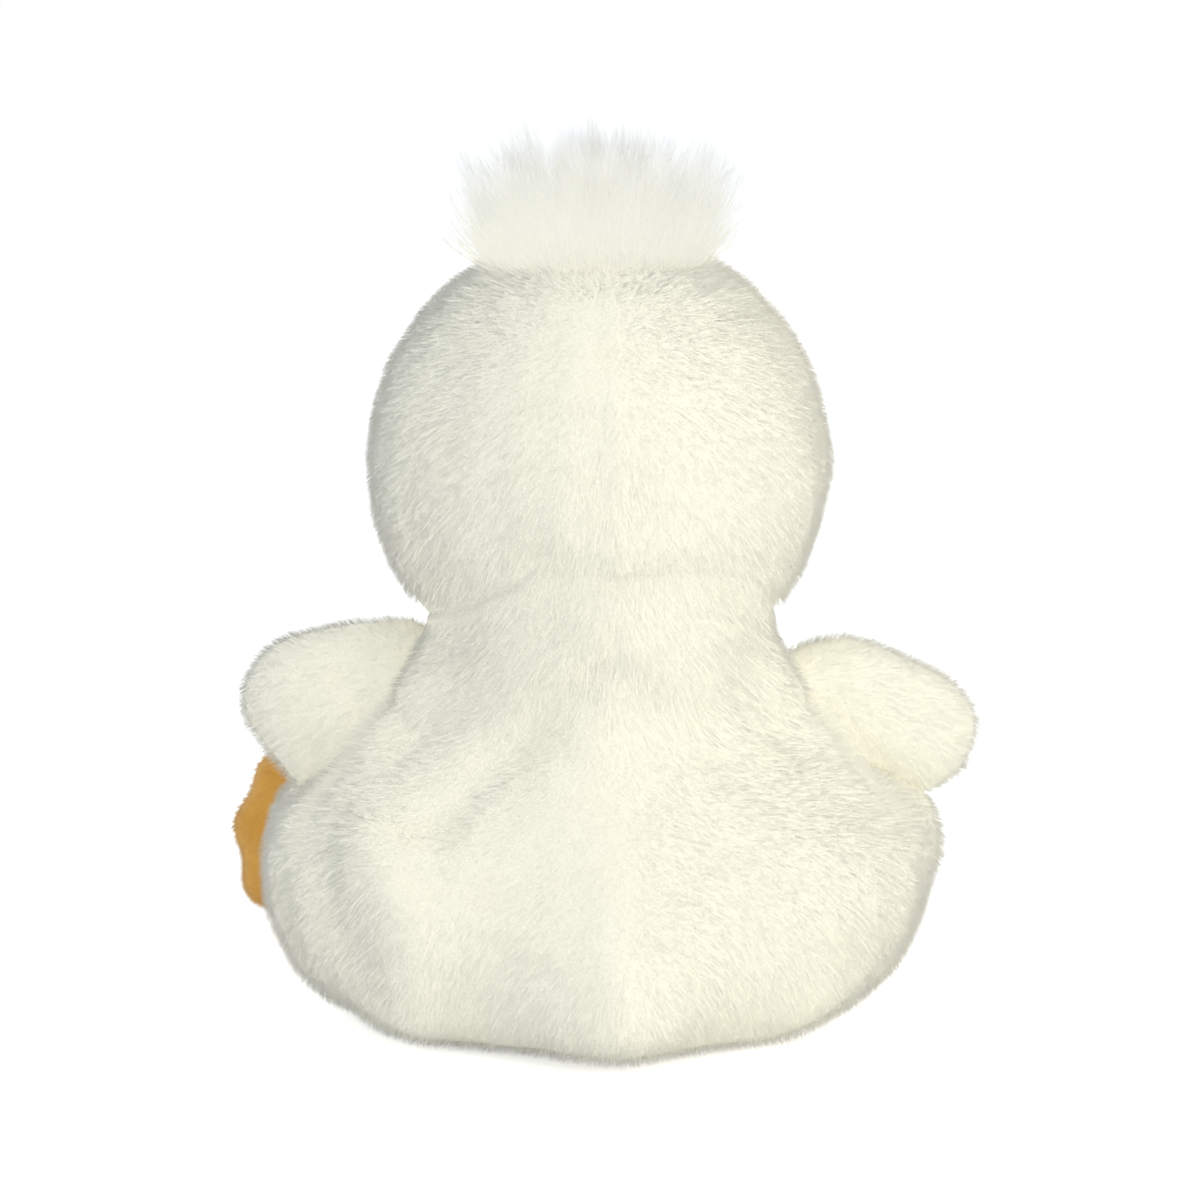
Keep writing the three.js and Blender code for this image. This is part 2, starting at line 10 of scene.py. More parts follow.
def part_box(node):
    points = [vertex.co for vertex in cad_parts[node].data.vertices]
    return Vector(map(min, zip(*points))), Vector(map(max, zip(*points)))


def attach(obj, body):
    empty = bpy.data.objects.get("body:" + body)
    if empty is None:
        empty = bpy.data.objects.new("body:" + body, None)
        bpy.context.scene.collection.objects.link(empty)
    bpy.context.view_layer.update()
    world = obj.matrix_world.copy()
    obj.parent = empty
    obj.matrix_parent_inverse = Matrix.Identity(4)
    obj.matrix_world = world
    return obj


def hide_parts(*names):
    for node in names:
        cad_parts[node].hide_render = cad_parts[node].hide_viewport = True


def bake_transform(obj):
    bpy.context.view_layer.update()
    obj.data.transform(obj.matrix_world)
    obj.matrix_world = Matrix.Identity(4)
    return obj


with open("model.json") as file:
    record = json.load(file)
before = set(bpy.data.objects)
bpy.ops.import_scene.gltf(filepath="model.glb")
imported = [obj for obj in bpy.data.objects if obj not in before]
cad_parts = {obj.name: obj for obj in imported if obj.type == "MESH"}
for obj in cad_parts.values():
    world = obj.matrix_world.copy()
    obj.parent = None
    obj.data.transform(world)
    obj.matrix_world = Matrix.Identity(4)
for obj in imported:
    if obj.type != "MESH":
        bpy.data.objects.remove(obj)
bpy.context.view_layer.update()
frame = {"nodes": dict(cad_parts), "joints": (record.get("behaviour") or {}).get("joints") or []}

# A plush pelican that sits on a pale floor, seen from behind. Points are in millimetres until they
# go into a mesh. The bird faces -Y, and its left is +X.

MM = 0.001
TINY = 1e-9
FAR = 1000.0
scene = bpy.context.scene
nodes = frame["nodes"]

# Camera, from the photograph's outline

AZIMUTH = math.radians(175)
ELEVATION = math.radians(10.5)
ROLL = math.radians(1.04)
DISTANCE = 556
TARGET_HEIGHT = 55
SENSOR = 36
LENS = 117.5
SHIFT_ACROSS = 0.0013
SHIFT_UP = 0.018

away = Vector((
    math.sin(AZIMUTH) * math.cos(ELEVATION),
    -math.cos(AZIMUTH) * math.cos(ELEVATION),
    math.sin(ELEVATION),
))
camera_data = bpy.data.cameras.new("camera")
camera_data.sensor_width = SENSOR
camera_data.lens = LENS
camera_data.shift_x = SHIFT_ACROSS
camera_data.shift_y = SHIFT_UP
camera_data.clip_start = 0.01
camera_data.clip_end = 50
camera = bpy.data.objects.new("camera", camera_data)
camera.location = (Vector((0, 0, TARGET_HEIGHT)) + away * DISTANCE) * MM
level = (-away).to_track_quat("-Z", "Y")
camera.rotation_euler = (level @ Quaternion((0, 0, 1), ROLL)).to_euler()
scene.collection.objects.link(camera)
scene.camera = camera


# Meshes as arrays

def points_of(mesh):
    co = np.empty(len(mesh.vertices) * 3)
    mesh.vertices.foreach_get("co", co)
    return co.reshape(-1, 3) / MM


def node_arrays(names):
    """The points and faces of some solids together."""
    points, faces, start = [], [], 0
    for name in names:
        mesh = nodes[name].data
        points.append(points_of(mesh))
        faces += [[i + start for i in p.vertices] for p in mesh.polygons]
        start += len(mesh.vertices)
    return np.concatenate(points), faces


def mesh_arrays(mesh):
    """The points and faces of a mesh whose faces all have as many corners as each other."""
    corners = np.empty(len(mesh.loops), int)
    mesh.loops.foreach_get("vertex_index", corners)
    return points_of(mesh), corners.reshape(len(mesh.polygons), -1)


def make_mesh(name, points, faces):
    mesh = bpy.data.meshes.new(name)
    faces = [list(map(int, f)) for f in faces]
    mesh.from_pydata([tuple(p) for p in np.asarray(points) * MM], [], faces)
    mesh.update()
    return mesh


def add_object(name, mesh):
    made = bpy.data.objects.new(name, mesh)
    scene.collection.objects.link(made)
    return made


def remove_object(made):
    mesh = made.data
    bpy.data.objects.remove(made)
    bpy.data.meshes.remove(mesh)


def through_modifier(points, faces, kind, **settings):
    """The points and faces that a modifier makes of these."""
    scratch = add_object("scratch", make_mesh("scratch", points, faces))
    modifier = scratch.modifiers.new("scratch", kind)
    for key, value in settings.items():
        setattr(modifier, key, value)
    graph = bpy.context.evaluated_depsgraph_get()
    made = bpy.data.meshes.new_from_object(scratch.evaluated_get(graph))
    arrays = mesh_arrays(made)
    remove_object(scratch)
    bpy.data.meshes.remove(made)
    return arrays


def edges_of(faces):
    """The edges of four-sided faces, each of them once."""
    after = np.roll(faces, -1, 1)
    pairs = np.concatenate([np.stack([faces[:, i], after[:, i]], 1) for i in range(4)])
    return np.unique(np.sort(pairs, 1), axis=0)


def outer_island(points, faces):
    """The largest connected part, without what the remesh leaves inside."""
    edges = edges_of(faces)
    label = np.arange(len(points))
    while True:
        low = np.minimum(label[edges[:, 0]], label[edges[:, 1]])
        new = label.copy()
        np.minimum.at(new, edges[:, 0], low)
        np.minimum.at(new, edges[:, 1], low)
        new = new[new]
        if (new == label).all():
            break
        label = new
    names, counts = np.unique(label, return_counts=True)
    kept = label == names[counts.argmax()]
    renumber = np.cumsum(kept) - 1
    return points[kept], renumber[faces[kept[faces[:, 0]]]]


def neighbours(points, faces):
    """Each edge both ways, and how many edges meet at each point."""
    edges = edges_of(faces)
    ends = np.concatenate([edges, edges[:, ::-1]])
    return ends, np.bincount(ends[:, 0], minlength=len(points))[:, None]


def middle_of_neighbours(points, ends, counts):
    here, there = ends.T
    total = np.stack([np.bincount(here, points[there, axis], len(points)) for axis in range(3)], 1)
    return total / counts


HALF_WAY = 0.5
GIVE_BACK = 1.03  # what a step takes back of the one before it, so that the form doesn't shrink


def relaxed(points, faces, rounds):
    """Evens out the points among their neighbours, without the shrinking that plain smoothing brings."""
    ends, counts = neighbours(points, faces)
    for _ in range(rounds):
        for step in (HALF_WAY, -GIVE_BACK * HALF_WAY):
            points = points + step * (middle_of_neighbours(points, ends, counts) - points)
    return points


def softened(points, faces, weight, rounds):
    """Plain smoothing, as much as each point's weight says."""
    ends, counts = neighbours(points, faces)
    for _ in range(rounds):
        step = HALF_WAY * weight[:, None]
        points = points + step * (middle_of_neighbours(points, ends, counts) - points)
    return points


def unit(vectors):
    return vectors / np.maximum(np.linalg.norm(vectors, axis=1, keepdims=True), TINY)


def normals_of(points, faces):
    first, second, third, fourth = (points[faces[:, i]] for i in range(4))
    across = np.cross(third - first, fourth - second)
    total = np.zeros_like(points)
    for corner in range(4):
        for axis in range(3):
            total[:, axis] += np.bincount(faces[:, corner], across[:, axis], len(points))
    return unit(total)


def pushed(points, faces, push):
    """The points, each moved out of their surface by its own push."""
    return points + normals_of(points, faces) * push[:, None]


def surface(points, faces):
    return BVHTree.FromPolygons([tuple(p) for p in points], [list(map(int, f)) for f in faces])


# Distances and soft steps

def distance_to(tree, points, most=FAR):
    found = [tree.find_nearest(p, most)[3] for p in points.tolist()]
    return np.array([most if d is None else d for d in found])


def nearest_on(tree, points, most):
    """The nearest place on a closed surface, and the distance from it, which is negative inside. Where
    nothing is near enough, the place is the point itself."""
    places, gaps = points.copy(), np.full(len(points), float(most))
    for i, p in enumerate(points.tolist()):
        place, normal, _, gap = tree.find_nearest(p, most)
        if place is not None:
            places[i] = place
            gaps[i] = gap if normal.dot(Vector(p) - place) >= 0 else -gap
    return places, gaps


def distance_from(points, place):
    return np.linalg.norm(points - np.array(place), axis=1)


def path_distance(points, path):
    """Distance from each point to a path of straight runs."""
    best = np.full(len(points), np.inf)
    path = np.array(path, float)
    for a, b in zip(path[:-1], path[1:]):
        along = np.clip((points - a) @ (b - a) / ((b - a) @ (b - a)), 0, 1)[:, None]
        best = np.minimum(best, np.linalg.norm(points - (a + along * (b - a)), axis=1))
    return best


def rise(values, low, width):
    """From 0 at the low value to 1 at a width above it."""
    return np.clip((values - low) / width, 0, 1)


def fall(values, high, width):
    """From 1 at a width below the high value to 0 at that value."""
    return np.clip((high - values) / width, 0, 1)


def eased(share):
    return share * share * (3 - 2 * share)


def bump(values, push, width):
    """A push that is full where the value is 0 and fades to both sides."""
    return push * np.exp(-((values / width) ** 2))


WAVES = 9
WAVE_SPREAD = (0.6, 1.4)


def ripple(points, wavelength, seed):
    """Smooth noise between about -1 and 1, with bumps about as wide as the wavelength."""
    rng = np.random.default_rng(seed)
    total = np.zeros(len(points))
    for _ in range(WAVES):
        way = rng.normal(size=3)
        way *= 2 * math.pi / wavelength / np.linalg.norm(way) * rng.uniform(*WAVE_SPREAD)
        total += np.sin(points @ way + rng.uniform(0, 2 * math.pi))
    return total / math.sqrt(WAVES)


# Materials

def material(name, roughness, sheen=0.0, specular=0.2):
    made = bpy.data.materials.new(name)
    made.use_nodes = True
    tree = made.node_tree
    shader = tree.nodes["Principled BSDF"]
    shader.inputs["Roughness"].default_value = roughness
    shader.inputs["Specular IOR Level"].default_value = specular
    shader.inputs["Sheen Weight"].default_value = sheen
    shader.inputs["Sheen Roughness"].default_value = 0.5
    return made, tree, shader


def add_node(tree, kind, **inputs):
    made = tree.nodes.new(kind)
    for key, value in inputs.items():
        made.inputs[key].default_value = value
    return made


def noise(tree, scale, detail):
    """Noise that stays on its piece. The scale is in blotches to the metre."""
    place = tree.nodes.new("ShaderNodeTexCoord").outputs["Object"]
    made = add_node(tree, "ShaderNodeTexNoise", Scale=scale, Detail=detail)
    tree.links.new(place, made.inputs["Vector"])
    return made.outputs["Fac"]


def ramp(tree, fac, stops):
    made = tree.nodes.new("ShaderNodeValToRGB")
    elements = made.color_ramp.elements
    while len(elements) < len(stops):
        elements.new(0.5)
    for element, (place, colour) in zip(elements, stops):
        element.position = place
        element.color = (*colour, 1)
    tree.links.new(fac, made.inputs["Fac"])
    return made.outputs["Color"]


def multiply(tree, a, b):
    made = tree.nodes.new("ShaderNodeMix")
    made.data_type = "RGBA"
    made.blend_type = "MULTIPLY"
    made.inputs["Factor"].default_value = 1
    tree.links.new(a, made.inputs["A"])
    tree.links.new(b, made.inputs["B"])
    return made.outputs["Result"]


def knit_material(name, dark, light, sheen):
    """The cloth under the pile: soft blotches, fine fibres and a bump of the fibres. The colour is darker
    where the fibre bump is low, as painted shade between the fibres.
    """
    SHADED, PLAIN = (0.93, 0.93, 0.93), (1, 1, 1)
    made, tree, shader = material(name, 0.9, sheen)
    blotch = noise(tree, scale=160, detail=3)
    fibre = noise(tree, scale=2600, detail=2)
    tone = ramp(tree, blotch, [(0.3, dark), (0.7, light)])
    # painted shade: the fibre noise that makes the bump also darkens the colour where the bump is low
    fibre_shade = ramp(tree, fibre, [(0.25, SHADED), (0.7, PLAIN)])
    tree.links.new(multiply(tree, tone, fibre_shade), shader.inputs["Base Color"])
    relief = add_node(tree, "ShaderNodeBump", Strength=0.3, Distance=0.0003)
    tree.links.new(fibre, relief.inputs["Height"])
    tree.links.new(relief.outputs["Normal"], shader.inputs["Normal"])
    return made


def pile_material(name, root, middle, tip, tones, sheen, through):
    """Hairs: their colour from root to tip, and a tone of their own, both from the hair map. A share of
    the light goes through them."""
    MIDDLE_AT = 0.45
    made, tree, shader = material(name, 0.8, sheen)
    hair = tree.nodes.new("ShaderNodeUVMap")
    hair.uv_map = "hair"
    parts = tree.nodes.new("ShaderNodeSeparateXYZ")
    tree.links.new(hair.outputs["UV"], parts.inputs["Vector"])
    along = ramp(tree, parts.outputs["Y"], [(0.0, root), (MIDDLE_AT, middle), (1.0, tip)])
    own = ramp(tree, parts.outputs["X"], list(zip(np.linspace(0, 1, len(tones)), tones)))
    colour = multiply(tree, along, own)
    tree.links.new(colour, shader.inputs["Base Color"])
    glow = tree.nodes.new("ShaderNodeBsdfTranslucent")
    tree.links.new(colour, glow.inputs["Color"])
    both = add_node(tree, "ShaderNodeMixShader", Fac=through)
    tree.links.new(shader.outputs["BSDF"], both.inputs[1])
    tree.links.new(glow.outputs["BSDF"], both.inputs[2])
    tree.links.new(both.outputs["Shader"], tree.nodes["Material Output"].inputs["Surface"])
    return made


def plastic(name, roughness, scale, detail, stops, specular=0.2):
    """Moulded plastic, faintly clouded."""
    made, tree, shader = material(name, roughness, specular=specular)
    cloud = noise(tree, scale, detail)
    tree.links.new(ramp(tree, cloud, stops), shader.inputs["Base Color"])
    return made


WHITE_TONES = [(0.95, 0.95, 0.955), (1, 1, 1), (0.975, 0.97, 0.955), (1, 1, 0.99), (0.96, 0.965, 0.97)]
ORANGE_TONES = [(0.9, 0.87, 0.82), (1, 1, 1), (0.96, 0.94, 0.9), (1, 0.98, 0.95)]
# Hairs from root to middle to tip
CREAM = [(0.93, 0.905, 0.785), (0.945, 0.925, 0.82), (0.955, 0.94, 0.85)]
PALE = [(0.95, 0.93, 0.86), (0.96, 0.955, 0.91), (0.98, 0.98, 0.96)]
GOLD = [(0.66, 0.34, 0.07), (0.82, 0.47, 0.12), (0.90, 0.64, 0.27)]
white_cloth = knit_material("white_cloth", (0.92, 0.895, 0.765), (0.94, 0.915, 0.795), sheen=0.25)
white_pile = pile_material("white_pile", *CREAM, WHITE_TONES, sheen=0.3, through=0.07)
long_pile = pile_material("long_pile", *PALE, WHITE_TONES, sheen=0.1, through=0.3)
orange_cloth = knit_material("orange_cloth", (0.62, 0.30, 0.055), (0.74, 0.40, 0.085), sheen=0.1)
orange_pile = pile_material("orange_pile", *GOLD, ORANGE_TONES, sheen=0.1, through=0.12)
fill_fibre = knit_material("fill_fibre", (0.80, 0.80, 0.79), (0.90, 0.90, 0.89), sheen=0.2)


# Forms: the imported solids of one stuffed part, joined, swollen by cloth under pressure and sewn

VOXEL = 1.2  # of the remesh that joins the solids
JOIN_ROUNDS = 6
SWELL_ROUNDS = 3
SWELL = 0.8
INSET = 0.7  # a cover lies this far inside its solids, which leaves room for the pile
SEAM_PIN = 1.0  # a cover is held this near to a seam, and half held at up to twice that
ROOT_HOLD = 4.0  # and this near to what it is sewn to
HELD, HALF_HELD = 1.0, 0.5


def joined_form(names, voxel):
    points, faces = node_arrays(names)
    points, faces = through_modifier(points, faces, "REMESH", mode="VOXEL", voxel_size=voxel * MM)
    points, faces = outer_island(points, faces)
    return relaxed(points, faces, JOIN_ROUNDS), faces


def swollen(points, faces, pinned, cap):
    """Cloth that air pushes out between pinned seams, no point further than the cap."""
    LAST_FRAME = 20
    body = add_object("cloth", make_mesh("cloth", points, faces))
    group = body.vertex_groups.new(name="seams")
    for weight in (HELD, HALF_HELD):
        group.add([int(i) for i in np.flatnonzero(pinned == weight)], weight, "REPLACE")
    modifier = body.modifiers.new("cloth", "CLOTH")
    settings = modifier.settings
    settings.quality = 4
    settings.mass = 0.2
    settings.tension_stiffness = 10
    settings.compression_stiffness = 10
    settings.shear_stiffness = 5
    settings.bending_stiffness = 0.3
    settings.use_pressure = True
    settings.uniform_pressure_force = 4
    settings.vertex_group_mass = "seams"
    settings.effector_weights.gravity = 0
    modifier.collision_settings.use_collision = False
    modifier.point_cache.frame_end = LAST_FRAME
    for frame_number in range(1, LAST_FRAME + 1):
        scene.frame_set(frame_number)
    graph = bpy.context.evaluated_depsgraph_get()
    moved, _ = mesh_arrays(body.evaluated_get(graph).data)
    remove_object(body)
    scene.frame_set(1)
    step = moved - points
    far = np.linalg.norm(step, axis=1, keepdims=True)
    return points + step * np.minimum(1, cap / np.maximum(far, TINY))


def rooted(points, faces, tree):
    """A limb whose root is drawn onto the part that it is sewn to, and a little into it."""
    REACH, FADE, SINK = 8.0, 3.2, 0.8
    FACING_FROM, FACING_TURN = -0.15, 0.5  # what looks away from that part stays where it is
    places, gaps = nearest_on(tree, points, REACH)
    towards = unit(places - points)
    facing = (normals_of(points, faces) * towards).sum(1)
    share = rise(facing, FACING_FROM, FACING_TURN) * fall(gaps, REACH, FADE)
    share[gaps <= 0] = 0
    return points + (places + towards * SINK - points) * share[:, None]


def panel_gaps(points, panels):
    """For each point, its distance from each panel's solid."""
    trees = [surface(*node_arrays([p])) for p in panels]
    return np.stack([distance_to(t, points) for t in trees], 1)


def seam_gap(gaps):
    """How far a point is from the seam between its own panel and the next, along the cover."""
    ordered = np.sort(gaps, 1)
    return ordered[:, 1] - ordered[:, 0]


def nearest_panel(points, faces, normals, panels):
    """For each face, which panel's solid it is nearest to, measured from a little outside them all."""
    OUTSIDE = 2.5
    gaps = panel_gaps(points + normals * OUTSIDE, panels)
    return gaps[faces].mean(1).argmin(1)


def sewn_form(panels, fills, voxel=VOXEL, inset=INSET, cap=SWELL, sewn_to=None):
    """The cover of one stuffed part: points, faces and distances from its panels. It starts smaller than
    its solids and swells between the seams, and is held where it lies near what it is sewn to."""
    points, faces = joined_form(panels + fills, voxel)
    points = points - normals_of(points, faces) * (inset + cap)
    gap = seam_gap(panel_gaps(points, panels))
    pinned = np.where(gap < SEAM_PIN, HELD, np.where(gap < 2 * SEAM_PIN, HALF_HELD, 0.0))
    if sewn_to is not None:
        pinned[distance_to(sewn_to, points, 2 * ROOT_HOLD) < ROOT_HOLD] = HELD
    points = swollen(points, faces, pinned, cap)
    points = relaxed(points, faces, SWELL_ROUNDS)
    points, faces = through_modifier(points, faces, "SUBSURF", levels=1)
    return points, faces, panel_gaps(points, panels)


# Pieces

def carry(piece, body, bend):
    """A piece rides on its body, or, when it is given a bend, has its place baked into its points."""
    if bend is None:
        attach(piece, body)
    else:
        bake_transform(piece)


def cover_piece(name, points, faces, look, body, replaced, bend=None, normals=None):
    """One panel's cover. The normals of the whole part keep the light even across a seam."""
    used = np.unique(faces)
    renumber = np.full(len(points), -1)
    renumber[used] = np.arange(len(used))
    made = add_object(name, make_mesh(name, points[used], renumber[faces]))
    made.data.shade_smooth()
    if normals is not None:
        made.data.normals_split_custom_set_from_vertices(normals[used].astype(np.float32))
    made.data.materials.append(look)
    carry(made, body, bend)
    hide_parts(*replaced)
    return made


def roots_on(points, faces, normals, uprights, density, rng):
    """Places spread evenly over a cover, with the way out of it and how upright the pile is at each."""
    triangles = np.concatenate([faces[:, [0, 1, 2]], faces[:, [0, 2, 3]]])
    a, b, c = (points[triangles[:, i]] for i in range(3))
    areas = np.linalg.norm(np.cross(b - a, c - a), axis=1) / 2
    count = int(areas.sum() * density)
    chosen = triangles[rng.choice(len(triangles), count, p=areas / areas.sum())]
    u, v = rng.random((2, count, 1))
    flip = u + v > 1
    u, v = np.where(flip, 1 - u, u), np.where(flip, 1 - v, v)

    def mix(values):
        return values[chosen[:, 0]] * (1 - u - v) + values[chosen[:, 1]] * u + values[chosen[:, 2]] * v

    return mix(points), unit(mix(normals)), mix(uprights[:, None])[:, 0]


SIDES = 3  # of each hair


def hair_mesh(name, rings, tips, soft, tones):
    """One mesh of hairs. Each is a slim three-sided spike through its rings of points to its tip. Soft
    normals come from the cover under it, so that light falls on the pile as on one soft surface."""
    HALF_STRIP = 0.004  # of the hair map's width, for one hair
    MARGIN_ACROSS, MARGIN_ALONG = 0.001, 0.01
    count, rows = rings.shape[:2]
    each = rows * SIDES + 1
    points = np.concatenate([rings.reshape(count, rows * SIDES, 3), tips[:, None]], 1).reshape(-1, 3)
    local = []
    for row in range(rows - 1):
        for side in range(SIDES):
            a, b = row * SIDES + side, row * SIDES + (side + 1) % SIDES
            local += [(a, b, b + SIDES), (a, b + SIDES, a + SIDES)]
    top = (rows - 1) * SIDES
    local += [(top + side, top + (side + 1) % SIDES, each - 1) for side in range(SIDES)]
    corners = (np.array(local)[None] + (np.arange(count) * each)[:, None, None]).reshape(-1)
    mesh = bpy.data.meshes.new(name)
    mesh.vertices.add(len(points))
    mesh.vertices.foreach_set("co", (points * MM).astype(np.float32).ravel())
    mesh.loops.add(len(corners))
    mesh.loops.foreach_set("vertex_index", corners.astype(np.int32))
    total = len(corners) // 3
    mesh.polygons.add(total)
    mesh.polygons.foreach_set("loop_start", np.arange(total, dtype=np.int32) * 3)
    mesh.update(calc_edges=True)
    height = np.append(np.repeat(np.arange(rows) / rows, SIDES), 1.0)
    across = np.append(np.tile([-1, 0, 1], rows), 0) * HALF_STRIP
    u = np.clip(tones[:, None] + across[None], MARGIN_ACROSS, 1 - MARGIN_ACROSS)
    v = np.broadcast_to(height * (1 - 2 * MARGIN_ALONG) + MARGIN_ALONG, u.shape)
    by_corner = np.stack([u, v], 2).reshape(-1, 2)[corners].astype(np.float32).ravel()
    for layer in ("hair", "OFBake"):
        mesh.uv_layers.new(name=layer).data.foreach_set("uv", by_corner)
    mesh.shade_smooth()
    if soft is not None:
        mesh.normals_split_custom_set_from_vertices(np.repeat(soft, each, 0).astype(np.float32))
    return mesh


def across_axes(ways, rng):
    """Two directions at right angles to each way, turned at random about it."""
    other = unit(np.cross(ways, unit(rng.normal(size=ways.shape))))
    return other, np.cross(ways, other)


def ring_round(centres, radii, axes):
    """The corners of a ring round each centre."""
    first, second = axes
    made = []
    for side in range(SIDES):
        angle = 2 * math.pi * side / SIDES
        made.append(centres + (first * math.cos(angle) + second * math.sin(angle)) * radii[:, None])
    return np.stack(made, 1)


def unshadowed(pile):
    """Pile throws no shadow and no light, because the shadows of so many hairs make pale pile grey."""
    pile.visible_shadow = False
    pile.visible_diffuse = False


PILE_SINK = 0.3  # how deep a hair's root goes into its cover
FLOOR_CLEAR = 0.1
UPRIGHT_LONGER = 0.6  # hairs are longer where they stand up, by this share of it
STAND_LEAST, STAND_MOST = 0.2, 3
# How hairs differ in waves over the cover: how much, how far apart, and what is added to the seed
DRIFT, DRIFT_WAVE = 0.05, 5
STAND_WAVES, STAND_WAVE, STAND_SEED = 0.08, 9, 5
SIZE_WAVES, SIZE_WAVE, SIZE_SEED = 0.05, 11, 9
# How each hair differs from the next
STAND_SPREAD = 0.05
WAY_SPREAD = 0.09
SIZE_RANGE = (0.75, 1.1)
WIDTH_RANGE = (0.7, 1.3)
# How the light falls on hairs, beside the way out of their cover
WAY_LIGHT = 0.12
FRINGE_LIGHT = 3.0  # long hairs along a side seam take the light as the back does
FRINGE_FACING = np.array([0.0, 1.0, 0.4])


def short_pile(name, cover, look, body, slot, density, length, stand, width, nap, seed, room, bend=None):
    """Short hairs on a cover. nap gives the way that they lie, and room the share of their length that
    they have space for, where 0 leaves a hair out."""
    points, faces, normals, uprights = cover
    rng = np.random.default_rng(seed)
    roots, out, upright = roots_on(points, faces, normals, uprights, density, rng)
    share = room(roots, out)
    kept = share > 0
    roots, out, share, upright = roots[kept], out[kept], share[kept], upright[kept]
    count = len(roots)
    lie = nap(roots)
    lie = unit(lie - out * (lie * out).sum(1, keepdims=True))
    longer = 1 + UPRIGHT_LONGER * (upright - 1)
    drift = np.stack([ripple(roots, DRIFT_WAVE, seed + k) for k in range(3)], 1)
    stand_waves = 1 + STAND_WAVES * ripple(roots, STAND_WAVE, seed + STAND_SEED)
    upright = stand * upright * stand_waves + rng.normal(0, STAND_SPREAD, count)
    upright = np.clip(upright, STAND_LEAST, STAND_MOST)
    ways = unit(out * upright[:, None] + lie + drift * DRIFT + rng.normal(0, WAY_SPREAD, roots.shape))
    size_waves = 1 + SIZE_WAVES * ripple(roots, SIZE_WAVE, seed + SIZE_SEED)
    sizes = length * share * longer * rng.uniform(*SIZE_RANGE, count) * size_waves
    starts = roots - out * PILE_SINK
    tips = starts + ways * (sizes + PILE_SINK)[:, None]
    tips[:, 2] = np.maximum(tips[:, 2], FLOOR_CLEAR)
    radii = width / 2 * rng.uniform(*WIDTH_RANGE, count)
    rings = ring_round(starts, radii, across_axes(ways, rng))[:, None]
    turned = FRINGE_LIGHT * np.clip(longer - 1, 0, 1)[:, None]
    soft = unit(out + WAY_LIGHT * ways + turned * FRINGE_FACING)
    made = add_object(name, hair_mesh(name, rings, tips, soft, rng.random(count)))
    unshadowed(made)
    made.data.materials.append(look)
    carry(made, body, bend)
    return made


# Where the head sits

head_low, head_high = (np.array(c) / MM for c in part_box("head_stuffing"))
head_centre = (head_low + head_high) / 2
HEAD_RADIUS = (np.array(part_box("head_cover_left")[1]) / MM)[0]
NECK_TOP = (np.array(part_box("body_back_left")[1]) / MM)[2]

# Head. A form's soft features are given by a push and a width, and its bumps by a push, a width and a seed.

HEAD_PANELS = ["head_cover_left", "head_cover_right"]
HEAD_INSET = -0.4
HEAD_SEAM = (0.2, 1.2)
HEAD_BUMPS, HEAD_BUMP_WIDTH, HEAD_BUMP_SEED = 0.25, 19, 11
HEAD_PLAIN = 4  # the seam and the bumps come in over this height above the neck

head_points, head_faces, head_gaps = sewn_form(HEAD_PANELS, ["head_stuffing"], inset=HEAD_INSET)
head_push = bump(seam_gap(head_gaps), *HEAD_SEAM)
head_push = head_push + HEAD_BUMPS * ripple(head_points, HEAD_BUMP_WIDTH, HEAD_BUMP_SEED)
head_push = head_push * rise(head_points[:, 2], NECK_TOP, HEAD_PLAIN)
head_points = pushed(head_points, head_faces, head_push)
head_tree = surface(head_points, head_faces)

# Body

BACK_LEFT, BACK_RIGHT, BELLY, BASE = range(4)
BODY_PANELS = ["body_back_left", "body_back_right", "body_belly", "body_base"]
SEAM_FADE_LOW, SEAM_FADE = 24, 10  # below this height a side seam is lost in the pile
SEAM_GROOVE = (-0.6, 1.4)
SEAM_RIDGE, SEAM_RIDGE_AT = (0.6, 3), 4
LOW_SEAM_RIDGE = (0.5, 3)
BASE_GROOVE = (-0.2, 1.4)
# The folds of the back, its spine and a shoulder, on the left half and mirrored to the right
FOLD = [(0.5, 25, 52), (7.5, 24, 47.6), (15.6, 22.6, 40.5), (24, 25, 33)]
FOLD_DEPTH, FOLD_WIDTH = -0.75, 3.6
FOLD_DEEPER_LEFT, FOLD_CROSSING = -0.2, 5
FOLD_RIDGE = [(3, 24.5, 56), (12.8, 21.7, 48.5), (22, 17.5, 41), (31.5, 15, 35)]
FOLD_RIDGE_PUSH = (0.7, 3.8)
SPINE = [(0, 27, 40.5), (0, 33, 32), (0, 40, 23), (0, 44, 14)]
SPINE_PUSH = (0.35, 3.6)
SHOULDER = [(25.5, 6, 45), (29, 6, 38)]  # it slopes from the neck
SHOULDER_PUSH = (4.5, 7)
RIGHT_HIP = (-47, -6, 25)  # it is stuffed fuller than the left one
RIGHT_HIP_PUSH = (4.2, 12)
# The left hip turns away at a soft corner, with a hollow beyond it
HIP_CORNER = [(36.5, 23, 33), (34, 26, 28), (29, 33, 19), (26.5, 30, 7)]
HIP_CORNER_PUSH = (2.3, 5)
HIP_HOLLOW = [(43, 13, 31), (39, 21, 22), (36.5, 24, 14)]
HIP_HOLLOW_PUSH = (-1.4, 4.5)
BODY_BUMPS, BODY_BUMP_WIDTH, BODY_BUMP_SEED = 0.35, 17, 3
# The nape, between two angles from straight behind, in radians
NAPE_LEFT, NAPE_RIGHT, NAPE_FADE = 0.85, -1.3, 0.7
NAPE_FILL = 3.0
NAPE_REACH = 15
CREASE_REACH = 20
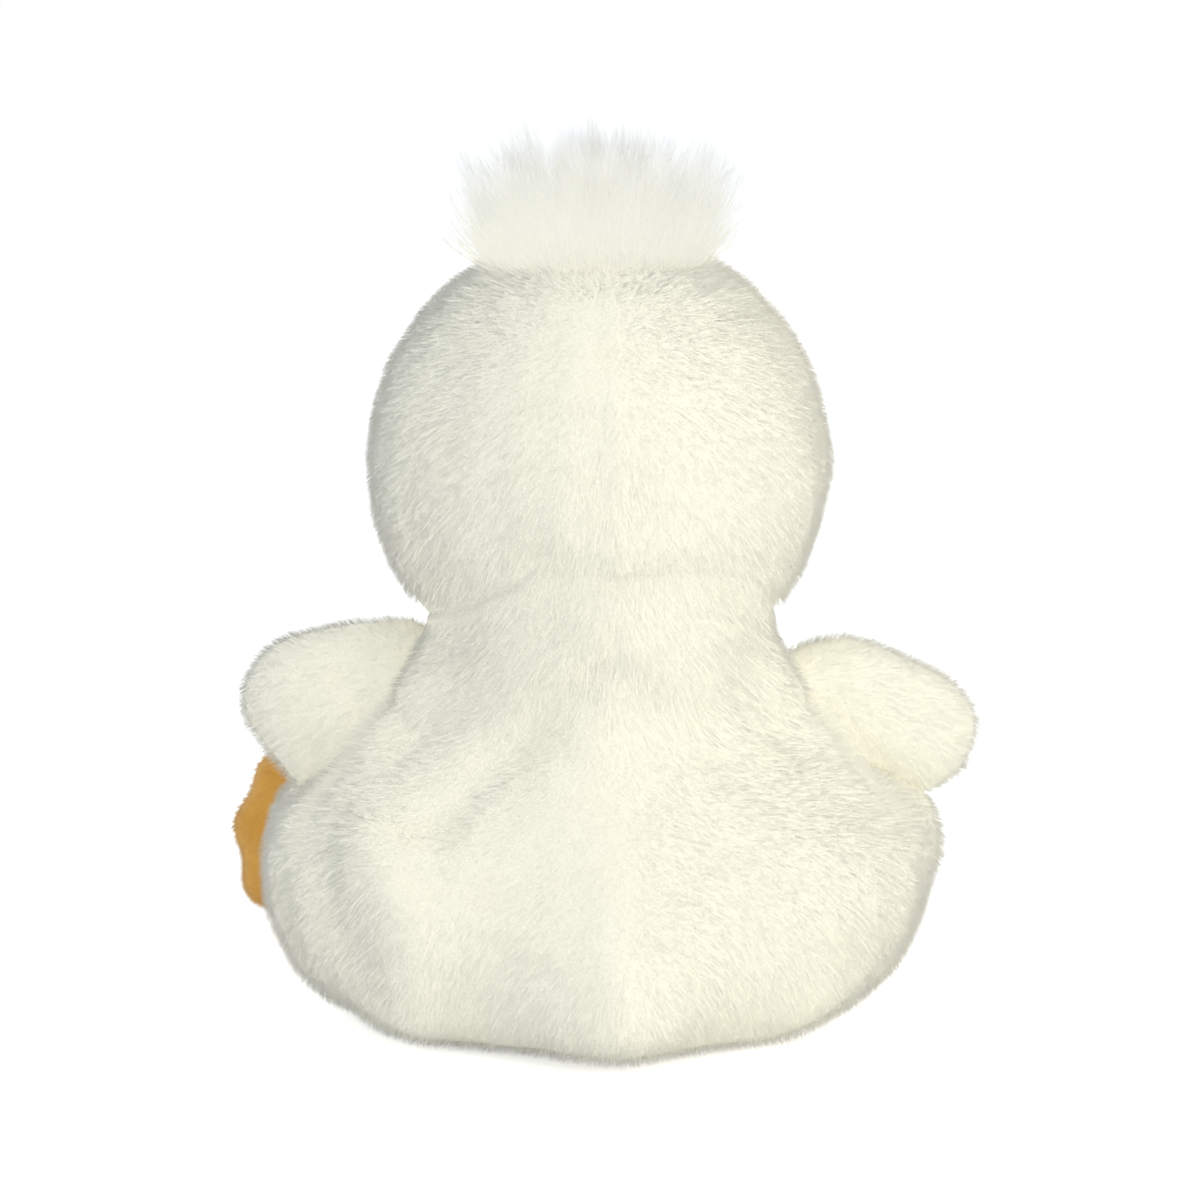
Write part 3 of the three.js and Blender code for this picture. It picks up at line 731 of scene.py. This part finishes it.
# What is smoothed: the crease under the head, to this share away from the nape, low seams and the spine
CREASE_SOFT, CREASE_SOFT_ELSEWHERE = 6, 0.3
LOW_SEAM_SOFT = (1, 3)
SPINE_SOFT = (0.8, 3.5)
SOFT_ROUNDS = 130
HEAD_NEAR = 12
NECK_GAP = -0.08  # the neck's edge lies just inside the head's cover
HUG_FROM, HUG_FADE = 0.1, 0.5
HEAD_EDGE = 0.15  # what lies nearer to the head's cover than this belongs to the head
SAME_LIGHT = 3
SEAT_CLEAR = 0.2

# The body is formed with the head on it, so that its neck runs up to the head, and the head is cut off
body_points, body_faces, body_gaps = sewn_form(
    BODY_PANELS, ["body_stuffing", "pellet_bag", *HEAD_PANELS, "head_stuffing"])
side_seam = body_gaps[:, BELLY] - body_gaps[:, [BACK_LEFT, BACK_RIGHT]].min(1)
base_seam = body_gaps[:, BASE] - body_gaps[:, :BASE].min(1)
upper = rise(body_points[:, 2], SEAM_FADE_LOW, SEAM_FADE)

# The crease under the head is filled out at the nape, so that the back runs up onto the head, and stays
# open at the bird's left side and in front
_, off_head = nearest_on(head_tree, body_points, CREASE_REACH)
rim_gap = np.maximum(off_head, 0) + body_gaps.min(1)
from_back = np.arctan2(body_points[:, 0], body_points[:, 1] - head_centre[1])
nape = eased(fall(from_back, NAPE_LEFT, NAPE_FADE) * rise(from_back, NAPE_RIGHT, NAPE_FADE))
outward = unit((body_points - head_centre) * [1, 1, 0])
fill = NAPE_FILL * np.clip(1 - rim_gap / NAPE_REACH, 0, 1) ** 2 * nape
body_points = body_points + outward * fill[:, None]
behind = body_points[:, 1] > 0
soft = np.clip(2 - rim_gap / CREASE_SOFT, 0, 1) * np.clip(CREASE_SOFT_ELSEWHERE + nape, 0, 1)
soft = np.maximum(soft, bump(side_seam, *LOW_SEAM_SOFT) * (1 - upper))
soft = np.maximum(soft, bump(body_points[:, 0], *SPINE_SOFT) * behind)
body_points = softened(body_points, body_faces, soft, SOFT_ROUNDS)
skin, off_head = nearest_on(head_tree, body_points, HEAD_NEAR)
hug = np.clip(1 - (off_head - HUG_FROM) / HUG_FADE, 0, 1)
body_points = body_points + (skin + unit(skin - head_centre) * NECK_GAP - body_points) * hug[:, None]
body_faces = body_faces[(off_head[body_faces] > HEAD_EDGE).any(1)]

mirrored = np.abs(body_points) * [1, 0, 0] + body_points * [0, 1, 1]
fold_depth = FOLD_DEPTH + FOLD_DEEPER_LEFT * np.tanh(body_points[:, 0] / FOLD_CROSSING)
body_push = (
    bump(side_seam, *SEAM_GROOVE) * upper
    + bump(side_seam - SEAM_RIDGE_AT, *SEAM_RIDGE) * upper
    + bump(side_seam, *LOW_SEAM_RIDGE) * (1 - upper)
    + bump(base_seam, *BASE_GROOVE)
    + bump(path_distance(mirrored, FOLD), fold_depth, FOLD_WIDTH)
    + bump(path_distance(mirrored, FOLD_RIDGE), *FOLD_RIDGE_PUSH)
    + bump(path_distance(mirrored, SPINE), *SPINE_PUSH)
    + bump(distance_from(body_points, RIGHT_HIP), *RIGHT_HIP_PUSH)
    + bump(path_distance(body_points, HIP_CORNER), *HIP_CORNER_PUSH)
    + bump(path_distance(body_points, HIP_HOLLOW), *HIP_HOLLOW_PUSH)
    + bump(path_distance(mirrored, SHOULDER), *SHOULDER_PUSH)
    + BODY_BUMPS * ripple(body_points, BODY_BUMP_WIDTH, BODY_BUMP_SEED)
) * (1 - hug)
body_points = pushed(body_points, body_faces, body_push)
body_points[:, 2] = np.maximum(body_points[:, 2], SEAT_CLEAR)
body_tree = surface(body_points, body_faces)

# Near the head the light falls on the neck as on the head, so that no edge shows
_, off_head = nearest_on(head_tree, body_points, HEAD_NEAR)
like_head = np.clip(1 - off_head / SAME_LIGHT, 0, 1)[:, None]
body_normals = unit(
    normals_of(body_points, body_faces) * (1 - like_head) + unit(body_points - head_centre) * like_head)

# Limbs

LIMB_PANELS = {"wing": ("back", "front"), "foot": ("sole", "top")}
LIMB_VOXEL = 1.0
LIMB_SEAM = (-0.3, 1.2)
LIMB_BUMPS, LIMB_BUMP_WIDTH, LIMB_BUMP_SEED = 0.2, 13, 21
FOOT_ROUNDS, FOOT_FULLER = 70, 0.9  # the feet are rounded off and filled out again
RIGHT_WING_FULLER = 1.2
DROOP = (-50.0, -6.0, 30.0)  # the right wing's full lower corner
DROOP_PUSH = (4.5, 9)
ROUND_TIP = (45.0, -5.0, 50.0)  # the left wing's full upper corner
ROUND_TIP_PUSH = (2.6, 8)
ROOT_REACH = 10
ROOT_SOFT, ROOT_SOFT_FADE, ROOT_ROUNDS = 1.6, 4, 40


def limb_form(side, limb):
    """The panels' names of a wing or foot, and its points, faces and surface."""
    names = [f"{side}_{limb}_{panel}" for panel in LIMB_PANELS[limb]]
    points, faces, gaps = sewn_form(
        names, [f"{side}_{limb}_stuffing"], voxel=LIMB_VOXEL, sewn_to=body_tree)
    if limb == "foot":
        points = softened(points, faces, np.ones(len(points)), FOOT_ROUNDS)
        points = points + normals_of(points, faces) * FOOT_FULLER
    push = bump(seam_gap(gaps), *LIMB_SEAM) + LIMB_BUMPS * ripple(points, LIMB_BUMP_WIDTH, LIMB_BUMP_SEED)
    if (side, limb) == ("right", "wing"):
        push += RIGHT_WING_FULLER + bump(distance_from(points, DROOP), *DROOP_PUSH)
    if (side, limb) == ("left", "wing"):
        push += bump(distance_from(points, ROUND_TIP), *ROUND_TIP_PUSH)
    points = pushed(points, faces, push)
    points = rooted(points, faces, body_tree)
    off_body = distance_to(body_tree, points, ROOT_REACH)
    points = softened(points, faces, np.clip(ROOT_SOFT - off_body / ROOT_SOFT_FADE, 0, 1), ROOT_ROUNDS)
    return names, points, faces, surface(points, faces)


limb_forms = {f"{side}_{limb}": limb_form(side, limb) for side in ("left", "right") for limb in LIMB_PANELS}

# Bill

BILL_PANELS = ["bill_upper", "bill_pouch"]
BILL_VOXEL = 0.9
BILL_SWELL = 0.5
BILL_SEAM = (-0.6, 0.9)
BILL_BUMPS, BILL_BUMP_WIDTH, BILL_BUMP_SEED = 0.15, 12, 31

bill_points, bill_faces, bill_gaps = sewn_form(
    BILL_PANELS, ["bill_stuffing"], voxel=BILL_VOXEL, cap=BILL_SWELL)
bill_push = bump(seam_gap(bill_gaps), *BILL_SEAM)
bill_push = bill_push + BILL_BUMPS * ripple(bill_points, BILL_BUMP_WIDTH, BILL_BUMP_SEED)
bill_points = pushed(bill_points, bill_faces, bill_push)
bill_tree = surface(bill_points, bill_faces)


# Room for pile, and the way that it lies

def clear_of(*others, at_edge=0.5):
    """Hairs between two parts are left out, and those near another part are shorter, down to the share of
    their length at its edge."""
    REACH, LIFT, TOUCH = 3.0, 0.4, 0.3

    def room(roots, out):
        share = np.ones(len(roots))
        for tree in others:
            _, gap = nearest_on(tree, roots + out * LIFT, REACH)
            nearby = np.clip(at_edge + (1 - at_edge) * gap / REACH, 0, 1)
            share = np.minimum(share, np.where(gap < TOUCH, 0, nearby))
        return share

    return room


IN_NECK = NECK_TOP - 4  # below this the head is out of sight in the neck


def bare_in_neck(room):
    """The same room, but no hairs on the part of the head that sits in the neck."""
    return lambda roots, out: np.where(roots[:, 2] < IN_NECK, 0, room(roots, out))


DOWN = np.array([0.0, 0.0, -1.0])
FROM_SEAM, FROM_SEAM_WIDTH = 0.25, 6
DOWN_TOO = 0.6
BODY_MIDDLE = np.array([0.0, 0.0, 40.0])


def lie_down(roots):
    """Pile that lies downwards and away from the middle seam."""
    lie = np.tile(DOWN, (len(roots), 1))
    lie[:, 0] += FROM_SEAM * np.tanh(roots[:, 0] / FROM_SEAM_WIDTH)
    return lie


def lie_from(centre):
    """Pile that lies away from a point, and a little downwards."""
    return lambda roots: unit(roots - centre) + DOWN * DOWN_TOO


# Covers and pile of every part

def dress(panels, points, faces, looks, body, slot, extra, seed, room, nap, hair, uprights=None,
          bend=None, normals=None):
    """The cover and the pile of each panel of one part. extra names the other solids that a panel's
    cover replaces."""
    cloth, pile = looks
    uprights = np.ones(len(points)) if uprights is None else uprights
    normals = normals_of(points, faces) if normals is None else normals
    owner = nearest_panel(points, faces, normals, panels)
    for index, panel in enumerate(panels):
        own = faces[owner == index]
        replaced = [panel] + extra.get(panel, [])
        cover_piece(f"{panel}_cloth", points, own, cloth, body, replaced, bend, normals)
        short_pile(
            f"{panel}_pile", (points, own, normals, uprights), pile, body, slot,
            nap=nap, seed=seed + index, room=room, bend=bend, **hair)


WHITE_HAIR = {"density": 9.0, "length": 2.0, "stand": 1.3, "width": 0.07}
ORANGE_HAIR = {"density": 9.0, "length": 1.1, "stand": 1.3, "width": 0.08}
WHITE = (white_cloth, white_pile)
ORANGE = (orange_cloth, orange_pile)
BODY_SEED, HEAD_SEED, BILL_SEED, LIMB_SEED, LIMB_SEED_STEP = 100, 200, 300, 400, 10
FRINGE, FRINGE_AT = (1.3, 1.6), 1.0  # the pile stands up along the side seams
BEND_BEFORE, BEND_AFTER = 1.0, 6.0  # the start and end of the span given as a limb's bend, along it from its hinge

limb_trees = [form[3] for form in limb_forms.values()]
fringe = 1 + bump(side_seam - FRINGE_AT, *FRINGE) * upper
dress(
    BODY_PANELS, body_points, body_faces, WHITE, "body", "white_plush",
    extra={"body_base": ["body_stuffing", "pellet_bag"]}, seed=BODY_SEED,
    room=clear_of(head_tree, *limb_trees, at_edge=0.7), nap=lie_down, hair=WHITE_HAIR,
    uprights=fringe, normals=body_normals)
dress(
    HEAD_PANELS, head_points, head_faces, WHITE, "head", "white_plush",
    extra={"head_cover_left": ["head_stuffing"]}, seed=HEAD_SEED,
    room=bare_in_neck(clear_of(body_tree, bill_tree, at_edge=0.8)), nap=lie_down, hair=WHITE_HAIR)
dress(
    BILL_PANELS, bill_points, bill_faces, ORANGE, "head", "orange_plush",
    extra={"bill_pouch": ["bill_stuffing"]}, seed=BILL_SEED,
    room=clear_of(head_tree), nap=lie_from(head_centre), hair=ORANGE_HAIR)
for number, (limb, (names, points, faces, _)) in enumerate(limb_forms.items()):
    wing = "wing" in limb
    joint = next(j for j in frame["joints"] if j["child"] == limb)
    hinge = np.array(joint["pos_m"]) / MM
    tip = unit((points.mean(0) - hinge)[None])[0]
    bend = {
        "sewn_to": "body",
        "start": tuple((hinge - tip * BEND_BEFORE) * MM),
        "end": tuple((hinge + tip * BEND_AFTER) * MM),
    }
    dress(
        names, points, faces, WHITE if wing else ORANGE, limb, "white_plush" if wing else "orange_plush",
        extra={names[0]: [f"{limb}_stuffing"]}, seed=LIMB_SEED + LIMB_SEED_STEP * number,
        room=clear_of(body_tree), nap=lie_from(BODY_MIDDLE),
        hair=WHITE_HAIR if wing else ORANGE_HAIR, bend=bend)

# Crown tuft: long hairs on a round patch, gathered in locks that spread outwards

TUFT_SEED = 77
TUFT_RADIUS = 15.5
TUFT_SIDE = 1.0  # the patch sits a little to the bird's left
TUFT_SINK = 1.2  # how deep the roots lie in the head's ball
TUFT_HAIRS = 12500
TUFT_LOCKS = 120
TUFT_ROWS = 3
TUFT_THICKNESS = (0.03, 0.055)
TUFT_TAPER = 0.35
TUFT_MASS = 0.62  # the share of the hairs that make the low dense mass
MASS_LENGTH = 9.5
WISP_LENGTH = 18.5
EDGE_LONGER = 1.0  # the patch falls away at its edge, and the hairs there reach as high
LENGTH_RANGE = (0.5, 0.9, 1.1)  # least, most common and most
LEAN, EDGE_LEAN, LEAN_SPREAD = 0.05, 0.2, 0.13
EDGE_BEND, BEND_SPREAD = 0.2, 0.16
STRAYS = 0.22  # the share of the hairs that hang out at the edge
STRAY_LEAN, STRAY_LEAN_LEFT = 1.3, 0.9  # and further on the bird's left
WISP_GATHERED = (0.5, 0.9)  # how far a hair's tip is drawn to its lock
MASS_GATHERED = (0, 0.4)
GATHER_POWER = 1.5  # tips are drawn more than roots
UP = np.array([0.0, 0.0, 1.0])


def tuft_lines(polar, wisp, rng):
    """The line of each long hair, root first, from its place on the patch."""
    rim = polar[:, 0] / TUFT_RADIUS
    outward = np.stack([np.cos(polar[:, 1]), np.sin(polar[:, 1]), np.zeros(len(polar))], 1)
    level = outward[:, :2] * polar[:, :1] + [TUFT_SIDE, 0]
    lift = np.sqrt((HEAD_RADIUS - TUFT_SINK) ** 2 - (level**2).sum(1))
    roots = head_centre + np.column_stack([level, lift])
    stray = rng.random(len(polar)) < STRAYS
    reach = STRAY_LEAN + STRAY_LEAN_LEFT * np.clip(outward[:, 0], 0, 1)
    lean = LEAN + EDGE_LEAN * rim**2 + reach * stray * rim**4
    ways = unit(UP + outward * lean[:, None] + rng.normal(0, LEAN_SPREAD, roots.shape))
    most = np.where(wisp, WISP_LENGTH, MASS_LENGTH) + EDGE_LONGER * rim**2
    sizes = most * rng.triangular(*LENGTH_RANGE, len(polar))
    bend = outward * (EDGE_BEND * rim)[:, None] + rng.normal(0, BEND_SPREAD, roots.shape)
    steps = np.linspace(0, 1, TUFT_ROWS + 1)[None, :, None]
    curve = ways[:, None] * steps + bend[:, None] * steps**2 / 2
    return roots[:, None] + sizes[:, None, None] * curve


def on_patch(count, rng):
    """Places spread evenly over the patch, as distances from its middle and angles round it."""
    from_middle = TUFT_RADIUS * np.sqrt(rng.random(count))
    return np.stack([from_middle, rng.uniform(0, 2 * math.pi, count)], 1)


rng = np.random.default_rng(TUFT_SEED)
lock_lines = tuft_lines(on_patch(TUFT_LOCKS, rng), np.ones(TUFT_LOCKS, bool), rng)
wisp = rng.random(TUFT_HAIRS) > TUFT_MASS
lines = tuft_lines(on_patch(TUFT_HAIRS, rng), wisp, rng)
lock = np.linalg.norm(lines[:, None, 0] - lock_lines[None, :, 0], axis=2).argmin(1)
gathered = np.where(wisp, rng.uniform(*WISP_GATHERED, TUFT_HAIRS), rng.uniform(*MASS_GATHERED, TUFT_HAIRS))
pull = np.linspace(0, 1, TUFT_ROWS + 1)[None, :, None] ** GATHER_POWER * gathered[:, None, None]
lines = lines * (1 - pull) + lock_lines[lock] * pull
ways = unit(lines[:, -1] - lines[:, 0])
axes = across_axes(ways, rng)
thick = rng.uniform(*TUFT_THICKNESS, TUFT_HAIRS)
taper = np.linspace(1, TUFT_TAPER, TUFT_ROWS)
rings = np.stack([ring_round(lines[:, k], thick * taper[k], axes) for k in range(TUFT_ROWS)], 1)
tuft = add_object(
    "crown_tuft_pile", hair_mesh("crown_tuft_pile", rings, lines[:, -1], None, rng.random(TUFT_HAIRS)))
unshadowed(tuft)
tuft.data.materials.append(long_pile)
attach(tuft, "head")
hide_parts("crown_tuft")

# Neck filling, inside

neck_points, neck_faces = joined_form(["neck_stuffing"], VOXEL)
cover_piece("neck_fill", neck_points, neck_faces, fill_fibre, "neck", ["neck_stuffing"])


# Eyes and washers

SHARP_FROM = math.radians(35)


def smooth_part(name, node, look, body):
    """A copy of a hard part's own solid, with its points joined and its round faces smooth."""
    points, faces = node_arrays([node])
    kept, renumber = np.unique(points.round(4), axis=0, return_inverse=True)
    renumber = renumber.ravel()
    made = add_object(name, make_mesh(name, kept, [renumber[f] for f in faces]))
    made.data.shade_smooth()
    made.data.set_sharp_from_angle(angle=SHARP_FROM)
    made.data.materials.append(look)
    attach(made, body)
    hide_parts(node)


EYE_STOPS = [(0.3, (0.006, 0.005, 0.005)), (0.8, (0.016, 0.013, 0.012))]
WASHER_STOPS = [(0.3, (0.74, 0.74, 0.72)), (0.7, (0.82, 0.82, 0.81))]
eye_look = plastic("eye_plastic", 0.06, scale=700, detail=2, stops=EYE_STOPS, specular=0.5)
washer_look = plastic("washer_plastic", 0.45, scale=900, detail=3, stops=WASHER_STOPS)
for side in ("left", "right"):
    smooth_part(f"{side}_eye_dome", f"{side}_eye", eye_look, "head")
    nodes[f"{side}_eye_washer"].data.materials.clear()
    nodes[f"{side}_eye_washer"].data.materials.append(washer_look)

# Floor and background

FLOOR_HALF = 4000
FLOOR_GLOW = 0.5  # for what looks at the floor, and not for the light on the object
DOME_RADIUS = 6000
RINGS, SECTORS = 12, 48
DOME_DIP = 0.1  # the angle at which the dome starts below the floor

floor_look, floor_tree, floor_shader = material("floor", 0.9)
floor_shader.inputs["Base Color"].default_value = (0.95, 0.95, 0.95, 1)
floor_shader.inputs["Emission Color"].default_value = (1, 1, 1, 1)
seen = floor_tree.nodes.new("ShaderNodeLightPath")
rays = seen.outputs["Is Camera Ray"]
for kind in ("Is Glossy Ray", "Is Transmission Ray"):
    either = floor_tree.nodes.new("ShaderNodeMath")
    either.operation = "MAXIMUM"
    floor_tree.links.new(rays, either.inputs[0])
    floor_tree.links.new(seen.outputs[kind], either.inputs[1])
    rays = either.outputs["Value"]
brighter = floor_tree.nodes.new("ShaderNodeMath")
brighter.operation = "MULTIPLY"
brighter.inputs[1].default_value = FLOOR_GLOW
floor_tree.links.new(rays, brighter.inputs[0])
floor_tree.links.new(brighter.outputs["Value"], floor_shader.inputs["Emission Strength"])
floor_corners = [(x * FLOOR_HALF, y * FLOOR_HALF, 0) for x, y in ((-1, -1), (1, -1), (1, 1), (-1, 1))]
floor = add_object("floor", make_mesh("floor", floor_corners, [(0, 1, 2, 3)]))
floor.data.materials.append(floor_look)


def dome_point(ring, sector):
    rise_angle = ring / RINGS * math.pi / 2 - DOME_DIP
    turn = sector / SECTORS * 2 * math.pi
    reach = DOME_RADIUS * math.cos(rise_angle)
    return reach * math.cos(turn), reach * math.sin(turn), DOME_RADIUS * math.sin(rise_angle)


def dome_face(ring, sector):
    here, above = ring * SECTORS, (ring + 1) * SECTORS
    after = (sector + 1) % SECTORS
    return here + sector, here + after, above + after, above + sector


backdrop_look, _, backdrop_shader = material("backdrop", 1.0)
backdrop_shader.inputs["Base Color"].default_value = (0, 0, 0, 1)
backdrop_shader.inputs["Emission Color"].default_value = (1, 1, 1, 1)
backdrop_shader.inputs["Emission Strength"].default_value = 1.0
dome_points = [dome_point(r, c) for r in range(RINGS + 2) for c in range(SECTORS)]
dome_faces = [dome_face(r, c) for r in range(RINGS + 1) for c in range(SECTORS)]
backdrop = add_object("backdrop", make_mesh("backdrop", dome_points, dome_faces))
backdrop.data.materials.append(backdrop_look)
backdrop.visible_diffuse = False
backdrop.visible_glossy = False
backdrop.visible_transmission = False
backdrop.visible_shadow = False

# Light, with places in metres

SKY_COLOUR = (0.905, 0.955, 1.0, 1)
SKY_STRENGTH = 0.61
COOL, WARM, KEY_WARM, FILL_WARM = (0.97, 0.985, 1.0), (1.0, 0.98, 0.92), (1.0, 0.92, 0.69), (1.0, 0.97, 0.9)

world = bpy.data.worlds.new("studio")
world.use_nodes = True
world.node_tree.nodes["Background"].inputs["Color"].default_value = SKY_COLOUR
world.node_tree.nodes["Background"].inputs["Strength"].default_value = SKY_STRENGTH
scene.world = world


def lamp(name, place, aim_height, size, watts, colour):
    """A soft square lamp that looks at the middle of the bird, at a height."""
    data = bpy.data.lights.new(name, "AREA")
    data.size = size
    data.energy = watts
    data.color = colour
    made = bpy.data.objects.new(name, data)
    made.location = Vector(place)
    aim = Vector((0, 0, aim_height))
    made.rotation_euler = (aim - Vector(place)).to_track_quat("-Z", "Y").to_euler()
    scene.collection.objects.link(made)


lamp("key", (-0.9, 0.6, 0.45), aim_height=0.06, size=0.7, watts=3.8, colour=KEY_WARM)
lamp("rim", (0.8, -0.5, 0.5), aim_height=0.06, size=0.9, watts=2.6, colour=COOL)
lamp("fill", (-0.1, 1.0, 0.25), aim_height=0.04, size=0.9, watts=2.8, colour=FILL_WARM)
lamp("front", (0.1, -1.0, 0.5), aim_height=0.06, size=0.9, watts=2.6, colour=WARM)
lamp("top", (-0.1, 0.5, 1.1), aim_height=0.1, size=0.9, watts=2.4, colour=WARM)

scene.view_settings.view_transform = "Standard"
